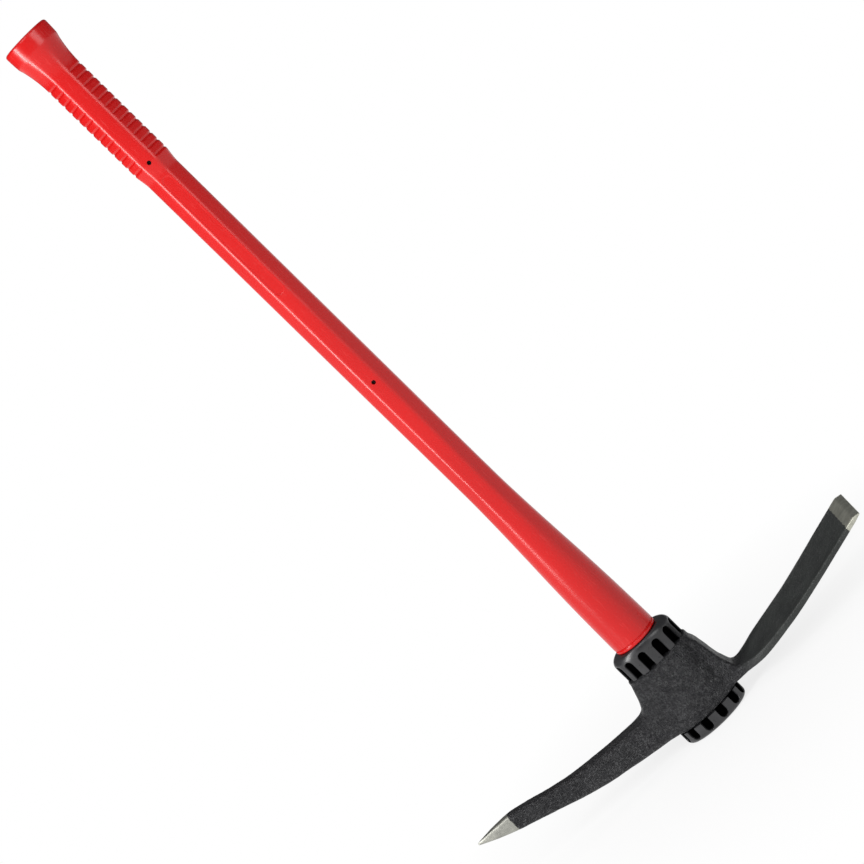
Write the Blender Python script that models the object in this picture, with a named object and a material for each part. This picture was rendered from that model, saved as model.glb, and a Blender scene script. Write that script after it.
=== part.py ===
"""Long-handled pick: a forged head with a point and a chisel arm on a moulded, cored handle.

Metres, +Z up. The pick stands head down on the flat foot of its lower collar. The origin is the
middle of that foot, +Z runs up the handle to the butt and +X points along the chisel arm.
"""

import math

import bmesh
import bpy

GAP = 0.0003  # clearance between pieces that touch
TOTAL_LENGTH = 0.900

# Heights of the joints between the pieces
EYE_BOTTOM = 0.0153
EYE_TOP = 0.0870
COLLAR_TOP = 0.1132
JACKET_BOTTOM = COLLAR_TOP + GAP
CORE_BOTTOM = 0.0058
CORE_TOP = 0.8700

# Half width (along X) and half depth (along Y) of the inner ovals
CORE = (0.0125, 0.0085)
BOND = (0.0145, 0.0105)
BUSH_TOP = (0.0287, 0.0168)
BUSH_BOTTOM = (0.0302, 0.0133)

# Collars
UPPER_COLLAR = (0.0350, 0.0232)
UPPER_SHOULDER = (0.0085, 0.0024, 0.0080)
LOWER_COLLAR = (0.0370, 0.0225)
LOWER_COLLAR_EDGE = 0.0050
SLOTS = 12
SLOT_WIDTH = 0.0076
SLOT_DEPTH = 0.0050
UPPER_SLOT_TOP = 0.1068
UPPER_SLOT_TURN = math.radians(4)  # the upper collar's slots sit a little round towards +X
LOWER_SLOT_FLOOR = 0.0040

# Jacket: height, half width, half depth, and how far the round oval turns into flat facets
JACKET = (
    (JACKET_BOTTOM, 0.02405, 0.02100, 0.00),
    (0.1600, 0.02330, 0.02010, 0.00),
    (0.2000, 0.02210, 0.01890, 0.05),
    (0.2450, 0.02010, 0.01710, 0.25),
    (0.2830, 0.01860, 0.01560, 0.60),
    (0.3200, 0.01775, 0.01460, 0.90),
    (0.3700, 0.01765, 0.01440, 1.00),
    (0.7290, 0.01765, 0.01440, 1.00),
    (0.7470, 0.01950, 0.01580, 1.00),
    (0.8540, 0.01950, 0.01580, 1.00),
    (0.8635, 0.02010, 0.01640, 0.70),
    (0.8706, 0.02105, 0.01730, 0.40),
    (0.8777, 0.02240, 0.01850, 0.20),
    (0.8850, 0.02420, 0.02010, 0.00),
    (TOTAL_LENGTH, 0.02480, 0.02060, 0.00),
)
FACET_HALF_WIDTH = 0.40  # share of the half width taken by the flat front and back facets
FACET_HALF_HEIGHT = 0.33  # share of the half depth taken by the side facets
FACET_POWER = 16
BUTT_LIP = 0.0025
JACKET_LIP = 0.0020
BEAD_HEIGHT = 0.0042
BEAD_DEPTH = 0.0005
BEAD_HALF = 0.0008

# Grip grooves on both sides of the flat facets
GROOVES = 13
GROOVE_PITCH = 0.00866
FIRST_GROOVE = 0.7465
GROOVE_DEPTH = 0.0009
GROOVE_HALF = 0.0017

# Panel and small round holes in the front of the jacket
PANEL = (0.5790, 0.7275)
PANEL_HALF_WIDTH = 0.0052
PANEL_DEPTH = 0.0004
PIN_HOLE_HEIGHTS = (0.4630, 0.7455)
PIN_HOLE_RADIUS = 0.0021

# Eye of the head: height, half width, half depth
EYE = (
    (EYE_BOTTOM, 0.0372, 0.0190),
    (EYE_BOTTOM + 0.0012, 0.0378, 0.0198),
    (0.0300, 0.0392, 0.0218),
    (0.0500, 0.0385, 0.0236),
    (0.0700, 0.0372, 0.0243),
    (EYE_TOP - 0.0012, 0.0366, 0.0246),
    (EYE_TOP, 0.0360, 0.0240),
)

# Point arm: distance from the handle's axis, top, bottom, depth along Y
POINT_ARM = (
    (0.0290, 0.0845, 0.0165, 0.0280),
    (0.0370, 0.0830, 0.0162, 0.0270),
    (0.0412, 0.0690, 0.0170, 0.0262),
    (0.0452, 0.0585, 0.0180, 0.0256),
    (0.0500, 0.0548, 0.0187, 0.0252),
    (0.0600, 0.0536, 0.0202, 0.0247),
    (0.0770, 0.0538, 0.0227, 0.0232),
    (0.0930, 0.0548, 0.0253, 0.0212),
    (0.1160, 0.0566, 0.0291, 0.0194),
    (0.1470, 0.0606, 0.0369, 0.0168),
    (0.1740, 0.0668, 0.0453, 0.0148),
    (0.1960, 0.0726, 0.0519, 0.0132),
    (0.2100, 0.0750, 0.0563, 0.0124),
    (0.2300, 0.0753, 0.0634, 0.0084),
    (0.2500, 0.0742, 0.0718, 0.0016),
)
POINT_SQUARENESS = 5.0

# Chisel arm: distance from the handle's axis, top, bottom, width along Y
CHISEL_ARM = (
    (0.0290, 0.0845, 0.0163, 0.0280),
    (0.0370, 0.0810, 0.0162, 0.0268),
    (0.0405, 0.0620, 0.0163, 0.0262),
    (0.0440, 0.0402, 0.0165, 0.0268),
    (0.0475, 0.0313, 0.0168, 0.0290),
    (0.0520, 0.0291, 0.0174, 0.0330),
    (0.0580, 0.0286, 0.0182, 0.0412),
    (0.0650, 0.0289, 0.0190, 0.0492),
    (0.0750, 0.0302, 0.0208, 0.0595),
    (0.0880, 0.0322, 0.0234, 0.0660),
    (0.1060, 0.0356, 0.0271, 0.0700),
    (0.1270, 0.0398, 0.0317, 0.0728),
    (0.1560, 0.0473, 0.0396, 0.0760),
    (0.1910, 0.0572, 0.0499, 0.0793),
    (0.2120, 0.0629, 0.0562, 0.0808),
    (0.2250, 0.0662, 0.0602, 0.0812),
    (0.2308, 0.0643, 0.0629, 0.0812),
)
CHISEL_SQUARENESS = 8.0

HANDLE_SIDES = 44
COLLAR_SIDES = 48
ARM_SIDES = 24


def clear_scene():
    """Remove whatever objects the file holds."""
    for old in list(bpy.data.objects):
        bpy.data.objects.remove(old, do_unlink=True)


def through(stations, at):
    """Values of a smooth curve through the stations, which never overshoots them."""
    last = len(stations) - 1
    at = min(max(at, stations[0][0]), stations[last][0])
    i = 0
    while i < last - 1 and at > stations[i + 1][0]:
        i += 1

    def slope(a, b, column):
        return (stations[b][column] - stations[a][column]) / (stations[b][0] - stations[a][0])

    def tangent(k, column):
        if k == 0:
            return slope(0, 1, column)
        if k == last:
            return slope(last - 1, last, column)
        before = slope(k - 1, k, column)
        after = slope(k, k + 1, column)
        if before * after <= 0:
            return 0.0
        return 2 * before * after / (before + after)

    span = stations[i + 1][0] - stations[i][0]
    u = (at - stations[i][0]) / span
    values = []
    for column in range(1, len(stations[0])):
        start, end = stations[i][column], stations[i + 1][column]
        values.append(
            start * (1 + 2 * u) * (1 - u) ** 2
            + tangent(i, column) * span * u * (1 - u) ** 2
            + end * u * u * (3 - 2 * u)
            + tangent(i + 1, column) * span * u * u * (u - 1)
        )
    return values


def material(name, colour, roughness, metallic):
    """A Principled BSDF material."""
    result = bpy.data.materials.new(name)
    result.use_nodes = True
    shader = result.node_tree.nodes["Principled BSDF"]
    shader.inputs["Base Color"].default_value = (*colour, 1.0)
    shader.inputs["Roughness"].default_value = roughness
    shader.inputs["Metallic"].default_value = metallic
    return result


def solid_from_rings(name, rings, look, closed_profile=False):
    """One object skinned over rings of equal count: capped at both ends, or closed on itself."""
    sides = len(rings[0])
    points = [point for ring in rings for point in ring]
    faces = []
    steps = len(rings) if closed_profile else len(rings) - 1
    for k in range(steps):
        low = k * sides
        high = ((k + 1) % len(rings)) * sides
        for j in range(sides):
            after = (j + 1) % sides
            faces.append((low + j, low + after, high + after, high + j))
    if not closed_profile:
        faces.append(tuple(reversed(range(sides))))
        faces.append(tuple((len(rings) - 1) * sides + j for j in range(sides)))
    mesh = bpy.data.meshes.new(name)
    mesh.from_pydata(points, [], faces)
    shell = bmesh.new()
    shell.from_mesh(mesh)
    bmesh.ops.recalc_face_normals(shell, faces=shell.faces)
    shell.to_mesh(mesh)
    shell.free()
    mesh.materials.append(look)
    result = bpy.data.objects.new(name, mesh)
    bpy.context.scene.collection.objects.link(result)
    return result


def oval_ring(height, half_width, half_depth, sides):
    """An elliptical ring around the handle's axis."""
    ring = []
    for j in range(sides):
        angle = 2 * math.pi * j / sides
        ring.append((half_width * math.cos(angle), half_depth * math.sin(angle), height))
    return ring


def smooth(piece):
    """Smooth shading that keeps real edges sharp."""
    piece.data.shade_smooth()
    piece.data.set_sharp_from_angle(angle=math.radians(32))


def apply_boolean(piece, tools, operation):
    """Join or cut the piece with each tool in turn, then drop the tools."""
    for tool in tools:
        modifier = piece.modifiers.new("step", "BOOLEAN")
        modifier.operation = operation
        modifier.solver = "EXACT"
        modifier.object = tool
        bpy.context.view_layer.update()
        evaluated = piece.evaluated_get(bpy.context.evaluated_depsgraph_get())
        result = bpy.data.meshes.new_from_object(evaluated)
        piece.modifiers.clear()
        old = piece.data
        piece.data = result
        bpy.data.meshes.remove(old)
        bpy.data.objects.remove(tool, do_unlink=True)


def groove_depth(height):
    """Depth of the grip grooves at this height, at the sides of the grip."""
    nearest = round((height - FIRST_GROOVE) / GROOVE_PITCH)
    if not 0 <= nearest < GROOVES:
        return 0.0
    away = abs(height - FIRST_GROOVE - nearest * GROOVE_PITCH) / GROOVE_HALF
    return GROOVE_DEPTH * max(0.0, 1.0 - away * away)


def jacket_ring(height, inset=0.0):
    """The jacket's outline: an oval that turns into a rounded octagon along shaft and grip."""
    half_width, half_depth, facets = through(JACKET, height)
    cut = groove_depth(height)
    ring = []
    corner = (1 - FACET_HALF_WIDTH, 1 - FACET_HALF_HEIGHT)
    reach = 1 - FACET_HALF_WIDTH * FACET_HALF_HEIGHT
    for j in range(HANDLE_SIDES):
        angle = 2 * math.pi * j / HANDLE_SIDES
        across = abs(math.cos(angle)) / half_width
        along = abs(math.sin(angle)) / half_depth
        oval = 1 / math.hypot(across, along)
        slanted = (corner[1] * across + corner[0] * along) / reach
        total = across**FACET_POWER + along**FACET_POWER + slanted**FACET_POWER
        octagon = total ** (-1 / FACET_POWER)
        radius = oval + (octagon - oval) * facets - inset
        side = min(1.0, max(0.0, (abs(radius * math.cos(angle)) / half_width - 0.42) / 0.15))
        radius -= cut * side
        ring.append((radius * math.cos(angle), radius * math.sin(angle), height))
    return ring


def jacket_heights():
    """Heights of the jacket's rings, closest together where its outline changes."""
    bead = JACKET_BOTTOM + BEAD_HEIGHT
    heights = [bead - BEAD_HALF, bead, bead + BEAD_HALF]
    heights += [0.135 + 0.02 * k for k in range(10)]
    heights += [0.34, 0.37, 0.55, 0.729, 0.735, 0.741]
    for k in range(GROOVES):
        centre = FIRST_GROOVE + k * GROOVE_PITCH
        heights += [centre - GROOVE_HALF, centre, centre + GROOVE_HALF]
    heights += [0.8560, 0.8635, 0.8706, 0.8777, 0.8845, 0.8860]
    return heights


def handle_jacket(look):
    """Red moulding around the core, with the grip grooves, bead, panel and small holes."""
    rings = [jacket_ring(JACKET_BOTTOM, JACKET_LIP)]
    rings.append(jacket_ring(JACKET_BOTTOM + JACKET_LIP * 0.3, JACKET_LIP * 0.3))
    rings.append(jacket_ring(JACKET_BOTTOM + JACKET_LIP))
    for height in jacket_heights():
        at_bead = abs(height - JACKET_BOTTOM - BEAD_HEIGHT) < 1e-6
        rings.append(jacket_ring(height, BEAD_DEPTH if at_bead else 0.0))
    rings.append(jacket_ring(TOTAL_LENGTH - BUTT_LIP))
    rings.append(jacket_ring(TOTAL_LENGTH - BUTT_LIP * 0.3, BUTT_LIP * 0.3))
    rings.append(jacket_ring(TOTAL_LENGTH, BUTT_LIP))
    bore = (CORE[0] + GAP, CORE[1] + GAP)
    rings.append(oval_ring(TOTAL_LENGTH, *bore, HANDLE_SIDES))
    rings.append(oval_ring(JACKET_BOTTOM, *bore, HANDLE_SIDES))
    jacket = solid_from_rings("handle_jacket", rings, look, closed_profile=True)
    cutters = [pin_hole_cutter(height) for height in PIN_HOLE_HEIGHTS]
    cutters.append(panel_cutter())
    apply_boolean(jacket, cutters, "DIFFERENCE")
    smooth(jacket)
    return jacket


def pin_hole_cutter(height):
    """A small cylinder right through the jacket from front to back."""
    rings = []
    for y in (-0.03, 0.03):
        ring = []
        for j in range(12):
            angle = 2 * math.pi * (j + 0.5) / 12
            x = PIN_HOLE_RADIUS * math.cos(angle)
            ring.append((x, y, height + PIN_HOLE_RADIUS * math.sin(angle)))
        rings.append(ring)
    return solid_from_rings("pin_hole_cutter", rings, None)


def panel_cutter():
    """A flat bar with round ends that sinks the panel into the front facet."""
    outline = []
    for end, turn in ((PANEL[1] - PANEL_HALF_WIDTH, 0.0), (PANEL[0] + PANEL_HALF_WIDTH, math.pi)):
        for j in range(9):
            angle = turn + math.pi * j / 8
            x = PANEL_HALF_WIDTH * math.cos(angle)
            outline.append((x, end + PANEL_HALF_WIDTH * math.sin(angle)))
    facet = through(JACKET, 0.65)[1]
    rings = []
    for y in (-0.03, PANEL_DEPTH - facet):
        rings.append([(x, y, z) for x, z in outline])
    return solid_from_rings("panel_cutter", rings, None)


def handle_core(look):
    """Glass-fibre rod from the lower collar to just below the butt."""
    rings = [oval_ring(z, *CORE, HANDLE_SIDES) for z in (CORE_BOTTOM, CORE_TOP)]
    core = solid_from_rings("handle_core", rings, look)
    smooth(core)
    return core


def butt_plug(look):
    """Plug that closes the jacket above the core."""
    rings = [oval_ring(z, *CORE, HANDLE_SIDES) for z in (CORE_TOP + GAP, TOTAL_LENGTH)]
    plug = solid_from_rings("butt_plug", rings, look)
    smooth(plug)
    return plug


def oval_sleeve(name, bottom, top, hole, look):
    """A straight-bored sleeve in the eye, given its outer ovals at both ends."""
    low = EYE_BOTTOM + GAP
    high = EYE_TOP - GAP
    bore = (hole[0] + GAP, hole[1] + GAP)
    rings = [
        oval_ring(low, *bottom, COLLAR_SIDES),
        oval_ring(high, *top, COLLAR_SIDES),
        oval_ring(high, *bore, COLLAR_SIDES),
        oval_ring(low, *bore, COLLAR_SIDES),
    ]
    sleeve = solid_from_rings(name, rings, look, closed_profile=True)
    smooth(sleeve)
    return sleeve


def slot_cutters(collar, low, high, round_end, turn_on=0.0):
    """Upright slots around an oval collar; round_end says which end of a slot is round."""
    cutters = []
    half = SLOT_WIDTH / 2
    for k in range(SLOTS):
        angle = 2 * math.pi * (k + 0.5) / SLOTS + turn_on
        on_rim = (collar[0] * math.cos(angle), collar[1] * math.sin(angle))
        normal = (math.cos(angle) / collar[0], math.sin(angle) / collar[1])
        length = math.hypot(*normal)
        normal = (normal[0] / length, normal[1] / length)
        outline = []
        for j in range(9):
            turn = math.pi * j / 8
            across = half * math.cos(turn)
            rise = half * math.sin(turn)
            outline.append((across, high - half + rise if round_end == "top" else low + half - rise))
        flat = low if round_end == "top" else high
        outline += [(-half, flat), (half, flat)]
        rings = []
        for out in (0.012, -SLOT_DEPTH):
            ring = []
            for across, z in outline:
                x = on_rim[0] + normal[0] * out - normal[1] * across
                y = on_rim[1] + normal[1] * out + normal[0] * across
                ring.append((x, y, z))
            rings.append(ring)
        cutters.append(solid_from_rings("slot_cutter", rings, None))
    return cutters


def upper_collar(look):
    """Slotted collar between the jacket and the eye, with a round shoulder."""
    low = EYE_TOP + GAP
    shoulder_x, shoulder_y, shoulder_z = UPPER_SHOULDER
    rings = [oval_ring(low, *UPPER_COLLAR, COLLAR_SIDES)]
    for k in range(6):
        turn = math.pi / 2 * k / 5
        drop = 1 - math.sin(turn)
        inward = 1 - math.cos(turn)
        half_width = UPPER_COLLAR[0] - shoulder_x * inward
        half_depth = UPPER_COLLAR[1] - shoulder_y * inward
        rings.append(oval_ring(COLLAR_TOP - shoulder_z * drop, half_width, half_depth, COLLAR_SIDES))
    bore = (CORE[0] + GAP, CORE[1] + GAP)
    rings.append(oval_ring(COLLAR_TOP, *bore, COLLAR_SIDES))
    rings.append(oval_ring(low, *bore, COLLAR_SIDES))
    collar = solid_from_rings("upper_collar", rings, look, closed_profile=True)
    cutters = slot_cutters(UPPER_COLLAR, low - 0.001, UPPER_SLOT_TOP, "top", UPPER_SLOT_TURN)
    apply_boolean(collar, cutters, "DIFFERENCE")
    smooth(collar)
    return collar


def lower_collar(look):
    """Slotted collar that closes the eye, with the flat foot and a pocket for the core."""
    high = EYE_BOTTOM - GAP
    rings = []
    for k in range(5):
        turn = math.pi / 2 * k / 4
        inward = LOWER_COLLAR_EDGE * (1 - math.sin(turn))
        rise = LOWER_COLLAR_EDGE * (1 - math.cos(turn))
        rings.append(oval_ring(rise, LOWER_COLLAR[0] - inward, LOWER_COLLAR[1] - inward, COLLAR_SIDES))
    rings.append(oval_ring(high, *LOWER_COLLAR, COLLAR_SIDES))
    pocket = (CORE[0] + GAP, CORE[1] + GAP)
    rings.append(oval_ring(high, *pocket, COLLAR_SIDES))
    rings.append(oval_ring(CORE_BOTTOM - GAP, *pocket, COLLAR_SIDES))
    collar = solid_from_rings("lower_collar", rings, look)
    cutters = slot_cutters(LOWER_COLLAR, LOWER_SLOT_FLOOR, high + 0.001, "bottom")
    apply_boolean(collar, cutters, "DIFFERENCE")
    smooth(collar)
    return collar


def arm(name, stations, direction, squareness, steps, look):
    """A curved arm of rounded rectangular section, along +X or -X."""
    rings = []
    first, last = stations[0][0], stations[-1][0]
    places = [first + (last - first) * (k / steps) ** 1.25 for k in range(steps + 1)]
    for place in places:
        top, bottom, depth = through(stations, place)
        middle, half = (top + bottom) / 2, (top - bottom) / 2
        ring = []
        for j in range(ARM_SIDES):
            angle = 2 * math.pi * (j + 0.5) / ARM_SIDES
            c, s = math.cos(angle), math.sin(angle)
            y = depth / 2 * math.copysign(abs(c) ** (2 / squareness), c)
            z = middle + half * math.copysign(abs(s) ** (2 / squareness), s)
            ring.append((direction * place, y, z))
        rings.append(ring)
    return solid_from_rings(name, rings, look)


def pick_head(look):
    """The forging: tall oval eye, point arm and chisel arm in one piece."""
    rings = [oval_ring(*station, COLLAR_SIDES) for station in EYE]
    head = solid_from_rings("pick_head", rings, look)
    arms = [
        arm("point_arm", POINT_ARM, -1, POINT_SQUARENESS, 30, look),
        arm("chisel_arm", CHISEL_ARM, 1, CHISEL_SQUARENESS, 34, look),
    ]
    apply_boolean(head, arms, "UNION")
    grow = 0.1  # the bore's cutter runs past both ends of the eye by this share of its height
    height = EYE_TOP - EYE_BOTTOM
    bore = []
    for share in (-grow, 1 + grow):
        half_width = BUSH_BOTTOM[0] + (BUSH_TOP[0] - BUSH_BOTTOM[0]) * share + GAP
        half_depth = BUSH_BOTTOM[1] + (BUSH_TOP[1] - BUSH_BOTTOM[1]) * share + GAP
        bore.append(oval_ring(EYE_BOTTOM + height * share, half_width, half_depth, COLLAR_SIDES))
    apply_boolean(head, [solid_from_rings("bore_cutter", bore, None)], "DIFFERENCE")
    smooth(head)
    return head


def main():
    clear_scene()
    red = material("red_moulding", (0.72, 0.015, 0.012), 0.35, 0.0)
    forged = material("black_forging", (0.030, 0.030, 0.032), 0.55, 0.4)
    black = material("black_moulding", (0.022, 0.022, 0.024), 0.42, 0.0)
    fibre = material("glass_fibre", (0.035, 0.030, 0.028), 0.6, 0.0)
    resin = material("cast_resin", (0.45, 0.36, 0.20), 0.3, 0.0)
    pick_head(forged)
    handle_jacket(red)
    handle_core(fibre)
    butt_plug(black)
    upper_collar(black)
    lower_collar(black)
    oval_sleeve("eye_bush", BUSH_BOTTOM, BUSH_TOP, BOND, black)
    oval_sleeve("bond_layer", BOND, BOND, CORE, resin)


main()
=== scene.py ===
import math

import bmesh
import bpy
from mathutils import Matrix, Vector, noise


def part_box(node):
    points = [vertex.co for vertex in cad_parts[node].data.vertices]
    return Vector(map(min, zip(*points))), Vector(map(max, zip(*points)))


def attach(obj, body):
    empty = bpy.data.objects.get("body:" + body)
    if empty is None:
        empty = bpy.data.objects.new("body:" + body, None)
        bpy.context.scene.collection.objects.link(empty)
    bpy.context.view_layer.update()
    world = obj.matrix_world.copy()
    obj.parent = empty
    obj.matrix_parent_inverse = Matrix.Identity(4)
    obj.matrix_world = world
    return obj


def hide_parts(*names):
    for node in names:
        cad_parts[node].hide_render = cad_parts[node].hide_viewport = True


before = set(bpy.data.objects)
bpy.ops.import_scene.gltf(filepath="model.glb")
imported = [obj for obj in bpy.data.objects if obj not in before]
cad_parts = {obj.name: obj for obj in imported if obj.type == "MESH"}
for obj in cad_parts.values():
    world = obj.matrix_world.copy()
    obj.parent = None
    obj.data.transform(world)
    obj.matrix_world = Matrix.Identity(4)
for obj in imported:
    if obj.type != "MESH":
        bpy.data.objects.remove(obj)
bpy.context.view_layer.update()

MM = 0.001
HEAD_LOW, HEAD_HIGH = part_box("pick_head")
JACKET_LOW, JACKET_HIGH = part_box("handle_jacket")
UPPER_LOW, UPPER_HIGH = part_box("upper_collar")
LOWER_LOW, LOWER_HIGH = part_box("lower_collar")
CORE_LOW, CORE_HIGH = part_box("handle_core")
CORE_GAP = 0.3 * MM

# Head: the bare ground ends start this far in from the tips
POINT_GROUND = HEAD_LOW.x + 40 * MM
CHISEL_GROUND = HEAD_HIGH.x - 18.3 * MM
HEAD_VOXEL = 0.8 * MM

# Jacket: height above its lower end, half width, half depth, share of flat facets
JACKET = (
    (0.0, 24.05 * MM, 21.0 * MM, 0.00),
    (46.5 * MM, 23.3 * MM, 20.1 * MM, 0.00),
    (86.5 * MM, 22.1 * MM, 18.9 * MM, 0.05),
    (131.5 * MM, 20.1 * MM, 17.1 * MM, 0.25),
    (169.5 * MM, 18.6 * MM, 15.6 * MM, 0.60),
    (206.5 * MM, 17.75 * MM, 14.6 * MM, 0.90),
    (256.5 * MM, 17.65 * MM, 14.4 * MM, 1.00),
    (615.5 * MM, 17.65 * MM, 14.4 * MM, 1.00),
    (633.5 * MM, 19.5 * MM, 15.8 * MM, 1.00),
    (740.5 * MM, 19.5 * MM, 15.8 * MM, 1.00),
    (750.0 * MM, 20.1 * MM, 16.4 * MM, 0.70),
    (757.1 * MM, 21.05 * MM, 17.3 * MM, 0.40),
    (764.2 * MM, 22.4 * MM, 18.5 * MM, 0.20),
    (771.5 * MM, 24.2 * MM, 20.1 * MM, 0.00),
    (786.5 * MM, 24.8 * MM, 20.6 * MM, 0.00),
)
JACKET_SIDES = 144
FACET_HALF_WIDTH, FACET_HALF_HEIGHT, FACET_POWER = 0.40, 0.33, 15
GRIP_START, GRIP_FADE = 0.42, 0.16  # share of the half width where the grooves begin and fade in
JACKET_LIP, BUTT_LIP = 2.0 * MM, 2.5 * MM
BEAD_HEIGHT, BEAD_DEPTH, BEAD_HALF = 4.2 * MM, 0.8 * MM, 1.2 * MM
GROOVES, GROOVE_PITCH, FIRST_GROOVE = 13, 8.66 * MM, 633.0 * MM
GROOVE_DEPTH, GROOVE_HALF = 0.95 * MM, 1.7 * MM
PANEL_START, PANEL_END, PANEL_HALF = 465.5 * MM, 614.0 * MM, 5.2 * MM
PANEL_DEPTH, PANEL_EDGE = 0.45 * MM, 0.8 * MM
PIN_HOLES, PIN_HOLE_RADIUS = (349.5 * MM, 632.0 * MM), 2.1 * MM

# Collars
SLOTS, SLOT_WIDTH, SLOT_EDGE = 12, 9.0 * MM, 1.0 * MM
SLOT_DEPTH_SIDE, SLOT_DEPTH_FRONT = 4.6 * MM, 8.0 * MM
UPPER_SLOT_TURN = math.radians(4)
UPPER_SLOT_TOP = UPPER_HIGH.z - 6.4 * MM
LOWER_SLOT_FLOOR = LOWER_LOW.z + 3.4 * MM
UPPER_SHOULDER = (8.5 * MM, 2.4 * MM, 8.0 * MM)
LOWER_EDGE = 5.0 * MM
COLLAR_SIDES = 480

# Camera: distance, turn towards the chisel, height, downward tilt, slope of the handle in the frame
CAMERA_AWAY, CAMERA_TURN, CAMERA_HEIGHT = 2.06, math.radians(6.5), 0.72
CAMERA_TILT, HANDLE_SLOPE = math.radians(9.1), math.radians(44.39)
CAMERA_ASIDE = 3.3 * MM
LENS, SENSOR = 94.04, 36.0

# Softboxes: name, place, width and height, power; all face the middle of the handle
LIGHTS_AIM = (0.0, 0.0, 0.42)
SOFTBOXES = (
    ("side_strip", (-1.35, -1.0, 0.75), (0.26, 1.7), 36),
    ("front_box", (-0.3, -2.4, 2.1), (1.3, 1.3), 21),
    ("right_box", (1.6, -2.2, 1.2), (1.2, 1.2), 19),
    ("top_box", (0.0, -0.2, 2.8), (2.4, 2.0), 12),
)
ROOM_STRENGTH = 0.11


# ---------------------------------------------------------------- shape tools
def through(stations, at):
    """Values of a smooth curve through the stations, which never overshoots them."""
    last = len(stations) - 1
    at = min(max(at, stations[0][0]), stations[last][0])
    i = 0
    while i < last - 1 and at > stations[i + 1][0]:
        i += 1

    def slope(a, b, column):
        return (stations[b][column] - stations[a][column]) / (stations[b][0] - stations[a][0])

    def tangent(k, column):
        if k in (0, last):
            return slope(max(k - 1, 0), min(k + 1, last), column)
        before, after = slope(k - 1, k, column), slope(k, k + 1, column)
        return 0.0 if before * after <= 0 else 2 * before * after / (before + after)

    span = stations[i + 1][0] - stations[i][0]
    u = (at - stations[i][0]) / span
    values = []
    for column in range(1, len(stations[0])):
        start, end = stations[i][column], stations[i + 1][column]
        values.append(
            start * (1 + 2 * u) * (1 - u) ** 2
            + tangent(i, column) * span * u * (1 - u) ** 2
            + end * u * u * (3 - 2 * u)
            + tangent(i + 1, column) * span * u * u * (u - 1)
        )
    return values


def ease(value):
    """0 below 0, 1 above 1, and a smooth step between."""
    value = min(1.0, max(0.0, value))
    return value * value * (3 - 2 * value)


def skin(name, rings, closed_profile):
    """A smooth mesh over rings of equal count, capped at both ends or closed on itself."""
    sides = len(rings[0])
    points = [point for ring in rings for point in ring]
    faces = []
    for k in range(len(rings) if closed_profile else len(rings) - 1):
        low, high = k * sides, ((k + 1) % len(rings)) * sides
        for j in range(sides):
            after = (j + 1) % sides
            faces.append((low + j, low + after, high + after, high + j))
    if not closed_profile:
        faces.append(tuple(reversed(range(sides))))
        faces.append(tuple((len(rings) - 1) * sides + j for j in range(sides)))
    mesh = bpy.data.meshes.new(name)
    mesh.from_pydata(points, [], faces)
    shell = bmesh.new()
    shell.from_mesh(mesh)
    bmesh.ops.recalc_face_normals(shell, faces=shell.faces)
    shell.to_mesh(mesh)
    shell.free()
    piece = bpy.data.objects.new(name, mesh)
    bpy.context.scene.collection.objects.link(piece)
    return piece


def bake_modifiers(piece):
    """Turn the piece's modifiers into its mesh."""
    bpy.context.view_layer.update()
    evaluated = piece.evaluated_get(bpy.context.evaluated_depsgraph_get())
    result = bpy.data.meshes.new_from_object(evaluated)
    piece.modifiers.clear()
    piece.data = result


def cut(piece, tool):
    """Cut the tool out of the piece."""
    modifier = piece.modifiers.new("cut", "BOOLEAN")
    modifier.operation = "DIFFERENCE"
    modifier.solver = "EXACT"
    modifier.object = tool
    bake_modifiers(piece)
    bpy.data.objects.remove(tool, do_unlink=True)


def oval_ring(height, half_width, half_depth, sides):
    """An elliptical ring around the handle's axis."""
    turns = [2 * math.pi * j / sides for j in range(sides)]
    return [(half_width * math.cos(a), half_depth * math.sin(a), height) for a in turns]


def core_oval():
    """Half width and half depth of the hole that the core passes through."""
    return CORE_HIGH.x + CORE_GAP, CORE_HIGH.y + CORE_GAP


def finish_piece(piece, node, look, sharp=40):
    """Give the piece its material, shading and body, and hide the CAD node that it stands for."""
    piece.data.materials.clear()
    piece.data.materials.append(look)
    piece.data.shade_smooth()
    piece.data.set_sharp_from_angle(angle=math.radians(sharp))
    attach(piece, "root")
    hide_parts(node)


# ---------------------------------------------------------------- the jacket
def groove_at(height, side):
    """Depth of the grip grooves at this height; they narrow and fade towards the facets."""
    nearest = min(max(round((height - FIRST_GROOVE) / GROOVE_PITCH), 0), GROOVES - 1)
    half = GROOVE_HALF * (0.6 + 0.4 * side)
    away = abs(height - FIRST_GROOVE - nearest * GROOVE_PITCH) / half
    return GROOVE_DEPTH * side * ease((1 - away) * 1.15)


def panel_at(x, height):
    """Depth of the sunk panel at this place on the front facet."""
    start, end = PANEL_START + PANEL_HALF, PANEL_END - PANEL_HALF
    past = max(start - height, height - end, 0.0)
    inside = PANEL_HALF - math.hypot(x, past)
    return PANEL_DEPTH * ease(inside / PANEL_EDGE)


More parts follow.
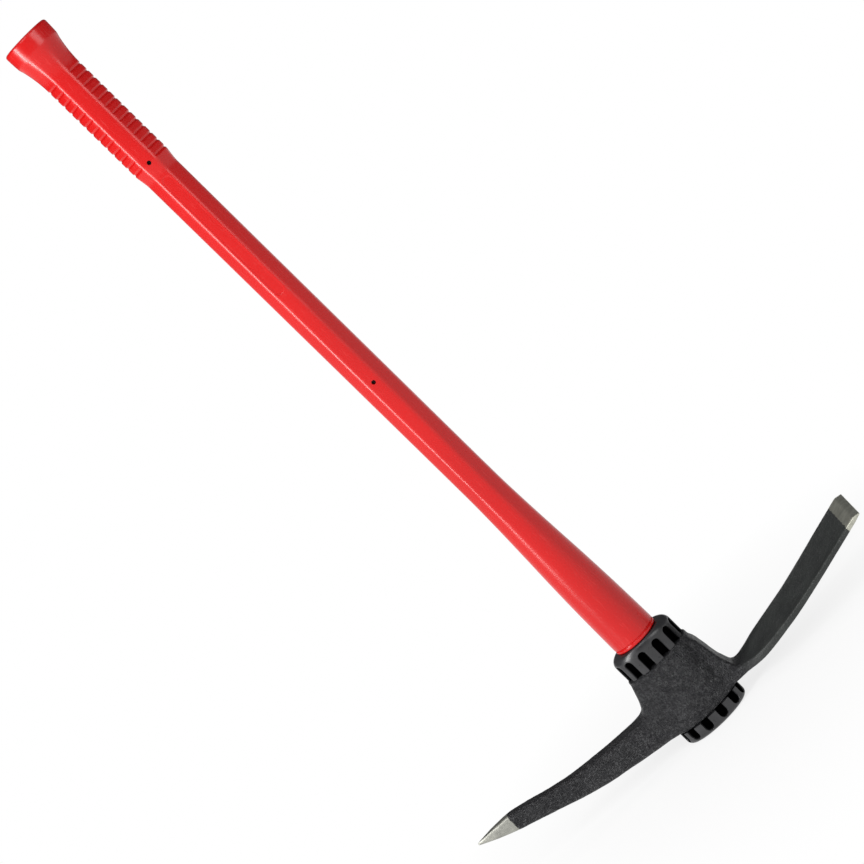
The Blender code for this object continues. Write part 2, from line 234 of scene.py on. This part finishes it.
def jacket_ring(height, inset=0.0):
    """The jacket's outline: an oval that turns into a rounded octagon along shaft and grip."""
    half_width, half_depth, facets = through(JACKET, height)
    corner = (1 - FACET_HALF_WIDTH, 1 - FACET_HALF_HEIGHT)
    reach = 1 - FACET_HALF_WIDTH * FACET_HALF_HEIGHT
    ring = []
    for j in range(JACKET_SIDES):
        angle = 2 * math.pi * j / JACKET_SIDES
        across = abs(math.cos(angle)) / half_width
        along = abs(math.sin(angle)) / half_depth
        oval = 1 / math.hypot(across, along)
        slanted = (corner[1] * across + corner[0] * along) / reach
        total = across**FACET_POWER + along**FACET_POWER + slanted**FACET_POWER
        octagon = total ** (-1 / FACET_POWER)
        radius = oval + (octagon - oval) * facets - inset
        side = ease((abs(radius * math.cos(angle)) / half_width - GRIP_START) / GRIP_FADE)
        radius -= groove_at(height, side)
        x, y = radius * math.cos(angle), radius * math.sin(angle)
        if y < 0:
            y += panel_at(x, height)
        ring.append((x, y, JACKET_LOW.z + height))
    return ring


def jacket_heights(top):
    """Ring heights: close together at the bead, the panel's ends, the grip and the butt."""
    def span(start, end, step):
        count = max(1, round((end - start) / step))
        return [start + (end - start) * k / count for k in range(count)]

    heights = span(JACKET_LIP, 8 * MM, 0.3 * MM)
    heights += span(8 * MM, PANEL_START - 1 * MM, 4 * MM)
    heights += span(PANEL_START - 1 * MM, PANEL_START + PANEL_HALF, 0.4 * MM)
    heights += span(PANEL_START + PANEL_HALF, PANEL_END - PANEL_HALF, 4 * MM)
    heights += span(PANEL_END - PANEL_HALF, PANEL_END + 1 * MM, 0.4 * MM)
    heights += span(PANEL_END + 1 * MM, FIRST_GROOVE - GROOVE_HALF, 1 * MM)
    last_groove = FIRST_GROOVE + (GROOVES - 1) * GROOVE_PITCH + GROOVE_HALF
    heights += span(FIRST_GROOVE - GROOVE_HALF, last_groove, 0.4 * MM)
    heights += span(last_groove, top - BUTT_LIP, 0.9 * MM)
    return heights


def handle_jacket(look):
    """The red moulding with grip grooves, flared butt, bead, sunk panel and small holes."""
    top = JACKET_HIGH.z - JACKET_LOW.z
    rings = []
    for k in range(5):
        turn = math.pi / 2 * k / 5
        rings.append(jacket_ring(JACKET_LIP * (1 - math.cos(turn)), JACKET_LIP * (1 - math.sin(turn))))
    for height in jacket_heights(top):
        away = (height - BEAD_HEIGHT) / BEAD_HALF
        rings.append(jacket_ring(height, BEAD_DEPTH * ease(1 - abs(away))))
    for k in range(7):
        turn = math.pi / 2 * k / 6
        rise = BUTT_LIP * math.sin(turn)
        rings.append(jacket_ring(top - BUTT_LIP + rise, BUTT_LIP * (1 - math.cos(turn))))
    rings.append(oval_ring(JACKET_HIGH.z, *core_oval(), JACKET_SIDES))
    rings.append(oval_ring(JACKET_LOW.z, *core_oval(), JACKET_SIDES))
    piece = skin("jacket_skin", rings, True)
    for height in PIN_HOLES:
        disc = [2 * math.pi * j / 40 for j in range(40)]
        z = JACKET_LOW.z + height
        ends = []
        for y in (JACKET_LOW.y - 5 * MM, JACKET_HIGH.y + 5 * MM):
            end = []
            for a in disc:
                end.append((PIN_HOLE_RADIUS * math.cos(a), y, z + PIN_HOLE_RADIUS * math.sin(a)))
            ends.append(end)
        cut(piece, skin("pin_hole", ends, False))
    finish_piece(piece, "handle_jacket", look)


# ---------------------------------------------------------------- the collars
def collar_skin(profile, size, slot_span, round_top, turn_on=0.0):
    """Rings of an oval collar with slots pressed in, and how deep in a slot each point lies.

    profile holds (height, inset along X, inset along Y); slot_span is the slots' lowest and
    highest height.
    """
    half = SLOT_WIDTH / 2
    step = 2 * math.pi / SLOTS
    rings, recess = [], []
    for height, inset_x, inset_y in profile:
        ring = []
        for j in range(COLLAR_SIDES):
            angle = 2 * math.pi * j / COLLAR_SIDES
            c, s = math.cos(angle), math.sin(angle)
            x, y = (size[0] - inset_x) * c, (size[1] - inset_y) * s
            centre = (math.floor((angle - turn_on) / step) + 0.5) * step + turn_on
            rim = Vector((size[0] * math.cos(centre), size[1] * math.sin(centre)))
            out = Vector((math.cos(centre) / size[0], math.sin(centre) / size[1])).normalized()
            across = (Vector((size[0] * c, size[1] * s)) - rim).cross(out)
            end = slot_span[1] - half if round_top else slot_span[0] + half
            past = max(height - end, 0.0) if round_top else max(end - height, 0.0)
            inside = half - math.hypot(across, past)
            depth = ease(inside / SLOT_EDGE)
            share = SLOT_DEPTH_SIDE + (SLOT_DEPTH_FRONT - SLOT_DEPTH_SIDE) * out.y * out.y
            x -= out.x * share * depth
            y -= out.y * share * depth
            ring.append((x, y, height))
            recess.append(depth)
        rings.append(ring)
    return rings, recess


def mark_recess(piece, recess):
    """Store how deep in a slot each point lies; the material paints shade and sets roughness from it.
    """
    layer = piece.data.attributes.new("recess", "FLOAT", "POINT")
    values = recess + [0.0] * (len(piece.data.vertices) - len(recess))
    layer.data.foreach_set("value", values)


def upper_collar(look):
    """Slotted collar with a round shoulder between the jacket and the eye."""
    size = (UPPER_HIGH.x, UPPER_HIGH.y)
    shoulder_x, shoulder_y, shoulder_z = UPPER_SHOULDER
    straight = UPPER_HIGH.z - shoulder_z
    profile = []
    for k in range(34):
        profile.append((UPPER_LOW.z + (straight - UPPER_LOW.z) * k / 34, 0.0, 0.0))
    for k in range(19):
        turn = math.pi / 2 * k / 18
        inward = 1 - math.cos(turn)
        height = straight + shoulder_z * math.sin(turn)
        profile.append((height, shoulder_x * inward, shoulder_y * inward))
    slot_span = (UPPER_LOW.z, UPPER_SLOT_TOP)
    rings, recess = collar_skin(profile, size, slot_span, True, UPPER_SLOT_TURN)
    rings.append(oval_ring(UPPER_HIGH.z, *core_oval(), COLLAR_SIDES))
    rings.append(oval_ring(UPPER_LOW.z, *core_oval(), COLLAR_SIDES))
    piece = skin("upper_collar_skin", rings, True)
    mark_recess(piece, recess)
    finish_piece(piece, "upper_collar", look, 60)


def lower_collar(look):
    """Slotted collar under the head, with a flat foot and a pocket for the core."""
    size = (LOWER_HIGH.x, LOWER_HIGH.y)
    profile = []
    for k in range(13):
        turn = math.pi / 2 * k / 12
        inward = LOWER_EDGE * (1 - math.sin(turn))
        profile.append((LOWER_LOW.z + LOWER_EDGE * (1 - math.cos(turn)), inward, inward))
    straight = LOWER_LOW.z + LOWER_EDGE
    for k in range(1, 19):
        profile.append((straight + (LOWER_HIGH.z - straight) * k / 18, 0.0, 0.0))
    rings, recess = collar_skin(profile, size, (LOWER_SLOT_FLOOR, LOWER_HIGH.z), False)
    pocket_floor = CORE_LOW.z - CORE_GAP
    rings.append(oval_ring(LOWER_HIGH.z, *core_oval(), COLLAR_SIDES))
    rings.append(oval_ring(pocket_floor, *core_oval(), COLLAR_SIDES))
    piece = skin("lower_collar_skin", rings, False)
    mark_recess(piece, recess)
    finish_piece(piece, "lower_collar", look, 60)


# ---------------------------------------------------------------- the head
def head_weights(piece):
    """Vertex group that rounds the roots of the arms and leaves rims, edges and tips crisp."""
    group = piece.vertex_groups.new(name="roots")
    for vertex in piece.data.vertices:
        away = abs(vertex.co.x)
        weight = ease((away - 28 * MM) / (8 * MM)) * ease((78 * MM - away) / (26 * MM))
        weight *= ease((HEAD_HIGH.z - 2 * MM - vertex.co.z) / (8 * MM))
        weight *= ease((vertex.co.z - HEAD_LOW.z - 0.5 * MM) / (3 * MM))
        if weight > 0.01:
            group.add([vertex.index], weight, "REPLACE")
    return group.name


def forged_surface(piece):
    """Shallow unevenness of a hammered, scaled surface; the ground ends stay true."""
    mesh = piece.data
    normals = [normal.vector.copy() for normal in mesh.vertex_normals]
    moved = []
    for vertex, normal in zip(mesh.vertices, normals, strict=True):
        place = vertex.co
        ground = ease((POINT_GROUND - place.x) / MM) + ease((place.x - CHISEL_GROUND) / MM)
        calm = 1.0 - 0.65 * ease((place.x - 45 * MM) / (15 * MM))
        rim = ease((HEAD_HIGH.z - place.z) / (2 * MM)) * ease((place.z - HEAD_LOW.z) / (2 * MM))
        broad = noise.noise(place * 70)
        small = noise.noise(place * 260 + Vector((3.1, 1.7, 5.3)))
        amount = (0.22 * MM * broad + 0.12 * MM * small) * calm * max(0.0, 1 - ground) * rim
        moved.extend(place + normal * amount)
    mesh.vertices.foreach_set("co", moved)
    mesh.update()


def pick_head(look):
    """The forging: the CAD shape with rounded roots, worn edges and an uneven surface."""
    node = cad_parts["pick_head"]
    mesh = node.data.copy()
    mesh.transform(node.matrix_world)
    piece = bpy.data.objects.new("head_skin", mesh)
    bpy.context.scene.collection.objects.link(piece)
    remesh = piece.modifiers.new("voxels", "REMESH")
    remesh.mode = "VOXEL"
    remesh.voxel_size = HEAD_VOXEL
    bake_modifiers(piece)
    even = piece.modifiers.new("even", "SMOOTH")
    even.factor, even.iterations = 0.5, 5
    bake_modifiers(piece)
    roots = head_weights(piece)
    soften = piece.modifiers.new("soften", "SMOOTH")
    soften.factor, soften.iterations, soften.vertex_group = 0.5, 60, roots
    bake_modifiers(piece)
    piece.vertex_groups.clear()
    forged_surface(piece)
    finish_piece(piece, "pick_head", look, 180)


# ---------------------------------------------------------------- materials
class Look:
    """A material being wired up; every texture reads object coordinates in metres."""

    def __init__(self, name):
        self.material = bpy.data.materials.new(name)
        self.material.use_nodes = True
        self.tree = self.material.node_tree
        self.shader = self.tree.nodes["Principled BSDF"]
        self.place = self.node("TexCoord").outputs["Object"]

    def node(self, kind, inputs=None, **settings):
        made = self.tree.nodes.new("ShaderNode" + kind)
        for key, value in settings.items():
            setattr(made, key, value)
        for key, value in (inputs or {}).items():
            self.feed(made.inputs[key], value)
        return made

    def feed(self, socket, value):
        if isinstance(value, bpy.types.NodeSocket):
            self.tree.links.new(value, socket)
        else:
            socket.default_value = value

    def stretched(self, scale):
        """Object coordinates multiplied by one factor for each axis."""
        return self.node("Mapping", {"Vector": self.place, "Scale": scale}).outputs["Vector"]

    def grain(self, per_metre, detail=3.0, rough=0.55, place=None):
        """Noise with this many features to the metre."""
        inputs = {"Vector": place or self.place, "Scale": per_metre, "Detail": detail}
        inputs["Roughness"] = rough
        return self.node("TexNoise", inputs).outputs["Fac"]

    def remap(self, value, low, high, out_low, out_high):
        inputs = {0: value, 1: low, 2: high, 3: out_low, 4: out_high}
        return self.node("MapRange", inputs).outputs[0]

    def math(self, operation, a, b=0.0):
        return self.node("Math", {0: a, 1: b}, operation=operation).outputs[0]

    def mix(self, share, a, b):
        """Colour a turning into colour b as share goes from 0 to 1."""
        inputs = {0: share, 6: a, 7: b}
        return self.node("Mix", inputs, data_type="RGBA").outputs[2]

    def blend(self, share, a, b):
        """Value a turning into value b as share goes from 0 to 1."""
        return self.node("Mix", {0: share, 2: a, 3: b}, data_type="FLOAT").outputs[0]

    def bump(self, height, distance, strength=1.0, under=None):
        inputs = {"Height": height, "Distance": distance, "Strength": strength}
        if under is not None:
            inputs["Normal"] = under
        return self.node("Bump", inputs).outputs["Normal"]

    def set(self, **values):
        for key, value in values.items():
            self.feed(self.shader.inputs[key.replace("_", " ")], value)
        return self.material


def red_look():
    """Glossy red moulding: slight waviness, orange peel, small scuffs."""
    look = Look("red_moulding")
    wave = look.grain(28, 2, 0.4, look.stretched((1.0, 1.0, 0.3)))
    peel = look.grain(1500, 2)
    scuff = look.remap(look.grain(420, 5, 0.7, look.stretched((1.0, 1.0, 0.15))), 0.56, 0.72, 0, 1)
    colour = look.mix(
        look.remap(wave, 0.3, 0.7, 0, 1), (0.46, 0.0022, 0.0022, 1), (0.52, 0.0030, 0.0026, 1)
    )
    colour = look.mix(look.math("MULTIPLY", scuff, 0.18), colour, (0.70, 0.06, 0.055, 1))
    rough = look.blend(scuff, look.remap(wave, 0.3, 0.7, 0.23, 0.29), 0.42)
    normal = look.bump(peel, 0.00001, 0.10, look.bump(wave, 0.0004, 0.12))
    return look.set(Base_Color=colour, Roughness=rough, Normal=normal, IOR=1.45)


def forged_look():
    """Black lacquer over a grainy forging, bare ground steel at both ends."""
    look = Look("forged_head")
    along = look.node("SeparateXYZ", {0: look.place}).outputs[0]
    wander = look.remap(look.grain(160, 3), 0.3, 0.7, -0.0007, 0.0007)
    across = look.math("ADD", along, wander)
    at_point = look.remap(across, POINT_GROUND + 0.0003, POINT_GROUND - 0.0003, 0, 1)
    at_chisel = look.remap(across, CHISEL_GROUND - 0.0003, CHISEL_GROUND + 0.0003, 0, 1)
    ground = look.math("MAXIMUM", at_point, at_chisel)
    blade = look.remap(along, 0.046, 0.066, 0, 1)

    pits = look.grain(620, 3, 0.65)
    lumps = look.grain(190, 3, 0.6)
    speck = look.remap(look.grain(520, 4, 0.8), 0.40, 0.72, 0, 1)
    patch = look.remap(look.grain(45, 2, 0.5), 0.35, 0.65, 0, 1)
    black = look.mix(patch, (0.006, 0.006, 0.007, 1), (0.014, 0.014, 0.015, 1))
    black = look.mix(look.math("MULTIPLY", speck, 0.65), black, (0.045, 0.045, 0.049, 1))
    calm = look.mix(patch, (0.018, 0.020, 0.019, 1), (0.028, 0.031, 0.029, 1))
    black = look.mix(blade, black, calm)
    edge = look.remap(look.node("NewGeometry").outputs["Pointiness"], 0.53, 0.60, 0, 1)
    worn = look.math("MULTIPLY", edge, look.remap(lumps, 0.42, 0.62, 0, 1))
    black = look.mix(look.math("MULTIPLY", worn, 0.55), black, (0.20, 0.20, 0.20, 1))

    strokes = look.grain(500, 4, 0.6, look.stretched((0.25, 3.0, 3.0)))
    stain = look.remap(look.grain(120, 4, 0.6), 0.35, 0.7, 0, 1)
    chisel_steel = look.mix(stain, (0.56, 0.56, 0.48, 1), (0.38, 0.38, 0.32, 1))
    point_steel = look.mix(stain, (0.38, 0.38, 0.34, 1), (0.26, 0.26, 0.235, 1))
    steel = look.mix(at_point, chisel_steel, point_steel)

    colour = look.mix(ground, black, steel)
    rough_black = look.blend(blade, look.remap(pits, 0.3, 0.7, 0.28, 0.50), 0.42)
    rough = look.blend(ground, rough_black, look.remap(strokes, 0.3, 0.7, 0.36, 0.55))
    rise = look.math("MULTIPLY", pits, look.blend(blade, 1.0, 0.22))
    rise = look.math("ADD", rise, look.math("MULTIPLY", lumps, look.blend(blade, 0.9, 0.35)))
    height = look.blend(ground, rise, look.math("MULTIPLY", strokes, 0.04))
    glint = look.math("MULTIPLY", speck, look.remap(lumps, 0.40, 0.60, 0.1, 1))
    shine = look.blend(blade, look.blend(glint, 0.18, 1.0), 0.35)
    return look.set(
        Base_Color=colour, Roughness=rough, Metallic=look.math("MULTIPLY", ground, 0.9),
        Specular_IOR_Level=look.blend(ground, shine, 0.5), Normal=look.bump(height, 0.0030, 0.9),
    )


def moulding_look():
    """Black glass-filled nylon, with painted shade inside the slots."""
    look = Look("black_moulding")
    recess = look.node("Attribute", attribute_name="recess").outputs["Fac"]
    fine = look.grain(2200, 2, 0.6)
    broad = look.grain(60, 3, 0.5)
    colour = look.mix(
        look.remap(broad, 0.35, 0.65, 0, 1), (0.014, 0.014, 0.015, 1), (0.024, 0.024, 0.026, 1)
    )
    # Painted shade: the deeper a point lies in a slot, the nearer black its colour and the weaker its
    # specular.
    painted_slot_shade = look.remap(recess, 0.02, 0.35, 0, 1)
    colour = look.mix(painted_slot_shade, colour, (0.001, 0.001, 0.0012, 1))
    rough = look.blend(recess, look.remap(broad, 0.3, 0.7, 0.24, 0.36), 0.9)
    normal = look.bump(fine, 0.00003, 0.6)
    shine = look.blend(painted_slot_shade, 0.5, 0.0)
    return look.set(Base_Color=colour, Roughness=rough, Normal=normal, Specular_IOR_Level=shine)


def fibre_look():
    """Dark pultruded glass fibre with fibres along the handle."""
    look = Look("glass_fibre")
    strands = look.grain(900, 4, 0.6, look.stretched((1.0, 1.0, 0.02)))
    colour = look.mix(
        look.remap(strands, 0.35, 0.65, 0, 1), (0.010, 0.008, 0.008, 1), (0.030, 0.022, 0.020, 1)
    )
    return look.set(Base_Color=colour, Roughness=0.5, Normal=look.bump(strands, 0.00005, 0.6))


def resin_look():
    """Amber casting resin with faint clouding."""
    look = Look("cast_resin")
    cloud = look.remap(look.grain(90, 4, 0.6), 0.3, 0.7, 0, 1)
    colour = look.mix(cloud, (0.42, 0.30, 0.12, 1), (0.52, 0.40, 0.20, 1))
    return look.set(Base_Color=colour, Roughness=look.blend(cloud, 0.2, 0.32))


def dress(node, look):
    """Give a CAD node that stays as it is its material."""
    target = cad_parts[node]
    target.data.materials.clear()
    target.data.materials.append(look)


# ---------------------------------------------------------------- stage, light, camera
def floor():
    """A wide pale floor that glows more and more towards the white backdrop: painted light that also
    thins the shadows near the pick.
    """
    bpy.ops.mesh.primitive_circle_add(vertices=96, radius=30, fill_type="NGON")
    ground = bpy.context.object
    ground.name = "studio_floor"
    ground.location.z = -0.2 * MM
    look = Look("studio_floor")
    away = look.node("VectorMath", {0: look.place}, operation="LENGTH").outputs["Value"]
    # Painted light: the share of white emission is 0.78 close to the pick and full 0.4 m away.
    glow_share = look.remap(away, 0.03, 0.40, 0.78, 1)
    speckle = look.remap(look.grain(300, 3), 0.3, 0.7, 0.93, 0.96)
    look.set(Base_Color=speckle, Roughness=0.85)
    glow = look.node("Emission", {"Color": (1, 1, 1, 1), "Strength": 1.0}).outputs[0]
    both = look.node("MixShader", {0: glow_share, 1: look.shader.outputs[0], 2: glow}).outputs[0]
    look.feed(look.tree.nodes["Material Output"].inputs["Surface"], both)
    ground.data.materials.append(look.material)


def softbox(name, place, size, power):
    """A rectangular area light facing the handle; size is its width and height."""
    data = bpy.data.lights.new(name, "AREA")
    data.shape = "RECTANGLE"
    data.size, data.size_y = size
    data.energy = power
    lamp = bpy.data.objects.new(name, data)
    lamp.location = place
    lamp.rotation_euler = (Vector(LIGHTS_AIM) - Vector(place)).to_track_quat("-Z", "Y").to_euler()
    bpy.context.scene.collection.objects.link(lamp)


def lighting():
    """White backdrop for the camera, dim grey room for reflections, and the softboxes."""
    world = bpy.data.worlds.new("studio")
    world.use_nodes = True
    tree = world.node_tree
    seen = tree.nodes["Background"]
    seen.inputs["Color"].default_value = (1, 1, 1, 1)
    seen.inputs["Strength"].default_value = 1.0
    room = tree.nodes.new("ShaderNodeBackground")
    room.inputs["Color"].default_value = (0.95, 0.97, 1.0, 1)
    room.inputs["Strength"].default_value = ROOM_STRENGTH
    ray = tree.nodes.new("ShaderNodeLightPath")
    either = tree.nodes.new("ShaderNodeMixShader")
    tree.links.new(ray.outputs["Is Camera Ray"], either.inputs[0])
    tree.links.new(room.outputs[0], either.inputs[1])
    tree.links.new(seen.outputs[0], either.inputs[2])
    tree.links.new(either.outputs[0], tree.nodes["World Output"].inputs["Surface"])
    bpy.context.scene.world = world
    for name, place, size, power in SOFTBOXES:
        softbox(name, place, size, power)


def camera():
    """From the front, a little to the chisel side, rolled so that the handle crosses the frame."""
    east, north = math.sin(CAMERA_TURN), -math.cos(CAMERA_TURN)
    level = math.cos(CAMERA_TILT)
    back = Vector((east * level, north * level, math.sin(CAMERA_TILT)))
    right = Vector((-north, east, 0.0))
    up = back.cross(right)
    data = bpy.data.cameras.new("camera")
    data.lens, data.sensor_width = LENS, SENSOR
    data.clip_start, data.clip_end = 0.05, 200
    cam = bpy.data.objects.new("camera", data)
    bpy.context.scene.collection.objects.link(cam)
    image_right = right * math.sin(HANDLE_SLOPE) - up * math.cos(HANDLE_SLOPE)
    image_up = right * math.cos(HANDLE_SLOPE) + up * math.sin(HANDLE_SLOPE)
    place = Vector((CAMERA_AWAY * east, CAMERA_AWAY * north, CAMERA_HEIGHT)) + right * CAMERA_ASIDE
    turn = Matrix((image_right, image_up, back)).transposed().to_4x4()
    cam.matrix_world = Matrix.Translation(place) @ turn
    bpy.context.scene.camera = cam


black = moulding_look()
pick_head(forged_look())
handle_jacket(red_look())
upper_collar(black)
lower_collar(black)
dress("handle_core", fibre_look())
dress("butt_plug", black)
dress("eye_bush", black)
dress("bond_layer", resin_look())
floor()
lighting()
camera()
bpy.context.scene.view_settings.view_transform = "Standard"
